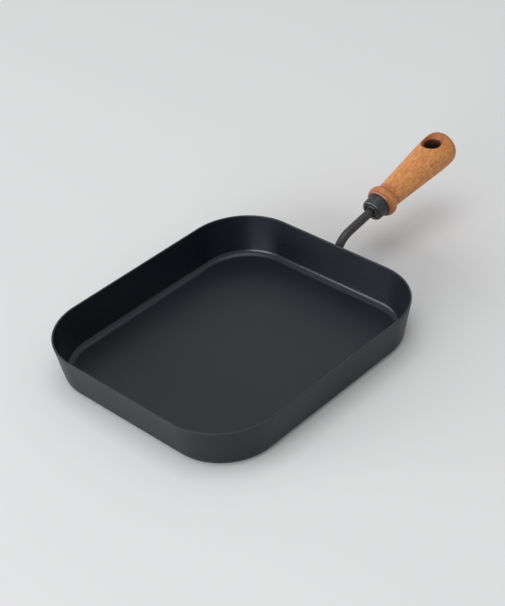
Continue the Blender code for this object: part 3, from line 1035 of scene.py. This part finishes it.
def stain_and_shade_masks(tree, place, handle, grip):
    """Three masks: where the wood turns darker (oil stains on the bead, painted shade in the hollow behind
    it, and at the tip oil staining of the end grain together with painted shade of that far end), painted
    shade in the corner at the ferrule, and the front of the bead, where the oil shines.
    """
    # The hollow's share is painted shade in that crease; the tip's share is painted shade of its far end
    # on top of oil staining of its end grain.
    side_stain, crest_stain, hollow_shade, tip_stain_and_shade = 0.82, 0.3, 0.2, 0.4
    crest_reach, hollow_reach = 2.2 * grip.neck_fillet, 2.5 * grip.neck_fillet
    station = axes(tree, place)["X"]
    flat = put(tree, "VectorMath", {0: place, 1: (0, 1, 1)}, operation="MULTIPLY").outputs["Vector"]
    bead_end = grip.bead_station + grip.bead_round
    on_bead = spread(tree, station, bead_end, grip.bead_station)
    on_crest = near(tree, station, grip.bead_station + grip.shoulder_ease, crest_reach)
    bead = times(tree, on_bead, between(tree, on_crest, side_stain, crest_stain))
    hollow = times(tree, near(tree, station, bead_end, hollow_reach), hollow_shade)
    tip = times(tree, spread(tree, station, grip.belly_station, grip.length), tip_stain_and_shade)
    ferrule_edge = handle.ferrule_back / 2
    # Painted shade in the corner between the bead's front face and the ferrule.
    low = spread(tree, length_of(tree, flat), ferrule_edge + 4 * grip.shoulder_ease, ferrule_edge)
    polished = spread(tree, station, 0.8 * grip.bead_station, 0.4 * grip.bead_station)
    return highest(tree, bead, hollow, tip), times(tree, low, on_bead), polished


def oiled_wood(pan, handle, grip, finishes):
    """Oiled wood with oil stains at the bead, in the countersink and on the tip's end grain, and painted
    shade in the bore, in part of the countersink, in the corner at the ferrule, in the hollow behind the
    bead and at the tip's far end.
    """
    material, tree, surface = new_material("oiled_wood_finish")
    place = along_handle(tree, pan, handle)
    colours = {"Light": finishes.wood_light, "Dark": finishes.wood_dark, "Pore": finishes.wood_pore}
    colours = {name: (*value, 1) for name, value in colours.items()}
    grain = use_group(tree, oiled_wood_grain, {"Place": place, **colours})
    bore_shade_mask, in_sink = hole_masks(tree, place, grip)
    stain_and_shade, painted_corner_shade, polished = stain_and_shade_masks(tree, place, handle, grip)
    # The countersink's oil staining is real; its painted shade, like that of the bore and of the corner at
    # the ferrule, mixes in the near-black painted shade colour.
    sink_stain, sink_shade_amount, corner_shade_amount = 0.85, 0.15, 0.8
    stain_and_shade_amount = highest(tree, times(tree, in_sink, sink_stain), stain_and_shade)
    deepened = mix_colours(tree, stain_and_shade_amount, grain["Colour"], finishes.wood_stain_and_shade)
    # Painted shade: the bore, the corner at the ferrule and part of the countersink.
    painted_shade = highest(tree, bore_shade_mask, times(tree, painted_corner_shade, corner_shade_amount), times(tree, in_sink, sink_shade_amount))
    feed(tree, surface, {
        "Base Color": mix_colours(tree, painted_shade, deepened, finishes.painted_shade_colour),
        "Roughness": grain["Roughness"],
        "Normal": relief(tree, grain["Height"], 0.03 * MM),
        "Specular IOR Level": 0.3,
        "Coat Weight": between(tree, polished, 0.2, 0.7),
        "Coat Roughness": 0.1,
    })
    return material


# Stage


def floor_paper(stage):
    """Pale paper with faint clouds, paler towards its edge."""
    material, tree, surface = new_material("pale_paper")
    place = object_place(tree)
    paper = mottled(tree, noise(tree, place, 3.0), stage.floor_colour, darkest=0.985, palest=1.0)
    far_out = spread(tree, length_of(tree, place), 0.2 * stage.floor_radius, 0.9 * stage.floor_radius)
    colour = mix_colours(tree, far_out, paper, stage.far_floor_colour)
    feed(tree, surface, {"Base Color": colour, "Roughness": 0.9, "Specular IOR Level": 0.1})
    return material


def make_floor(stage):
    bm = bmesh.new()
    bmesh.ops.create_circle(bm, cap_ends=True, segments=FLOOR_SIDES, radius=stage.floor_radius)
    floor = make_object("floor", bm, floor_paper(stage))


def light_the_air(stage):
    """Even light from all round. What shows past the floor is as pale as the floor."""
    world = bpy.data.worlds.new("studio_air")
    bpy.context.scene.world = world
    world.use_nodes = True
    tree = world.node_tree
    tree.nodes.clear()
    path = put(tree, "LightPath").outputs
    seen = highest(tree, path["Is Camera Ray"], path["Is Glossy Ray"], path["Is Transmission Ray"])
    air = put(tree, "Background", {"Color": (1, 1, 1, 1), "Strength": stage.ambient})
    backdrop = put(tree, "Background", {"Color": (*stage.floor_colour, 1), "Strength": 1.0})
    shown = put(tree, "MixShader", {0: seen, 1: air.outputs[0], 2: backdrop.outputs[0]})
    put(tree, "OutputWorld", {"Surface": shown.outputs[0]})


def make_lamp(name, direction, rise, distance, width, height, power):
    """Rectangular soft lamp that faces the pan, its width level."""
    light = bpy.data.lights.new(name, "AREA")
    light.shape = "RECTANGLE"
    light.size = width
    light.size_y = height
    light.energy = power
    lamp = put_in_scene(name, light)
    raised = Matrix.Rotation(-math.radians(rise), 3, "Y") @ Vector((distance, 0, 0))
    lamp.location = Matrix.Rotation(math.radians(direction), 3, "Z") @ raised
    lamp.rotation_mode = "QUATERNION"
    lamp.rotation_quaternion = (-lamp.location).to_track_quat("-Z", "Y")


def make_camera(stage):
    camera = bpy.data.cameras.new("camera")
    camera.sensor_width = 36
    camera.lens = stage.camera_lens
    camera.clip_start = 0.01
    camera.clip_end = 20
    item = put_in_scene("camera", camera)
    item.location = stage.camera_place
    item.rotation_euler = stage.camera_turn
    bpy.context.scene.camera = item


# Operators


class PAN_OT_body(Operator):
    """Make the drawn pan in place of its CAD solid"""

    bl_idname = "steel_pan.body"
    bl_label = "Pan body"

    def execute(self, context):
        settings = context.scene.steel_pan
        pan, finishes = settings.pan, settings.finishes
        inner = coated_steel(
            "inner_coating", pan, finishes, coat=finishes.inner_coat, sheen=0.46, dullness=(0.25, 0.30)
        )
        outer = coated_steel(
            "outer_coating", pan, finishes, coat=finishes.outer_coat, sheen=0.39, dullness=(0.42, 0.47)
        )
        stand_for(make_pan_body(pan, inner, outer), "pan_body")
        return {"FINISHED"}


class PAN_OT_rod(Operator):
    """Make the bent rod and the two welds at its foot"""

    bl_idname = "steel_pan.rod"
    bl_label = "Rod and welds"

    def execute(self, context):
        settings = context.scene.steel_pan
        pan, handle, finishes = settings.pan, settings.handle, settings.finishes
        stand_for(make_rod(pan, handle, rod_steel(finishes)), "handle_rod")
        weld = weld_steel(finishes)
        for name, node, side in (("left_weld_run", "left_weld", 1), ("right_weld_run", "right_weld", -1)):
            stand_for(make_weld(name, side, pan, handle, weld), node)
        return {"FINISHED"}


class PAN_OT_fittings(Operator):
    """Make the ferrule and the collar, and give the hidden bush its finish"""

    bl_idname = "steel_pan.fittings"
    bl_label = "Ferrule, collar and bush"

    def execute(self, context):
        settings = context.scene.steel_pan
        pan, handle, finishes = settings.pan, settings.handle, settings.finishes
        ferrule = make_ferrule(pan, handle, ferrule_steel(pan, handle, finishes))
        stand_for(ferrule, "ferrule")
        collar = make_collar(pan, handle, collar_steel(pan, handle, finishes))
        stand_for(collar, "stop_collar")
        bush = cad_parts["threaded_bush"]
        bush.data.materials.clear()
        bush.data.materials.append(bush_steel(pan, handle, finishes))
        return {"FINISHED"}


class PAN_OT_grip(Operator):
    """Make the turned wooden grip with its hanging hole"""

    bl_idname = "steel_pan.grip"
    bl_label = "Wooden grip"

    def execute(self, context):
        settings = context.scene.steel_pan
        wood = oiled_wood(settings.pan, settings.handle, settings.grip, settings.finishes)
        piece = make_grip(settings.pan, settings.handle, settings.grip, wood)
        stand_for(piece, "wooden_grip")
        return {"FINISHED"}


class PAN_OT_stage(Operator):
    """Make the floor, the light and the camera"""

    bl_idname = "steel_pan.stage"
    bl_label = "Stage"

    def execute(self, context):
        stage = context.scene.steel_pan.stage
        make_floor(stage)
        light_the_air(stage)
        for *placing, power in LAMPS:
            make_lamp(*placing, power * stage.lamp_level)
        make_camera(stage)
        context.scene.view_settings.view_transform = "Standard"
        return {"FINISHED"}


class PAN_PT_panel(Panel):
    """Steps that make the pan, in order"""

    bl_idname = "PAN_PT_panel"
    bl_label = "Steel Pan"
    bl_space_type = "VIEW_3D"
    bl_region_type = "UI"
    bl_category = "Steel Pan"

    def draw(self, context):
        for operator in OPERATORS:
            self.layout.operator(operator.bl_idname)


SETTINGS = (PanSizes, HandleSizes, GripSizes, Finishes, StageSettings, SteelPanSettings)
OPERATORS = (PAN_OT_body, PAN_OT_rod, PAN_OT_fittings, PAN_OT_grip, PAN_OT_stage)
CLASSES = (*SETTINGS, *OPERATORS, PAN_PT_panel)


def register():
    for item in CLASSES:
        bpy.utils.register_class(item)
    bpy.types.Scene.steel_pan = PointerProperty(type=SteelPanSettings)


def unregister():
    del bpy.types.Scene.steel_pan
    for item in reversed(CLASSES):
        bpy.utils.unregister_class(item)


def main():
    register()
    bpy.ops.steel_pan.body()
    bpy.ops.steel_pan.rod()
    bpy.ops.steel_pan.fittings()
    bpy.ops.steel_pan.grip()
    bpy.ops.steel_pan.stage()


if __name__ == "__main__":
    main()
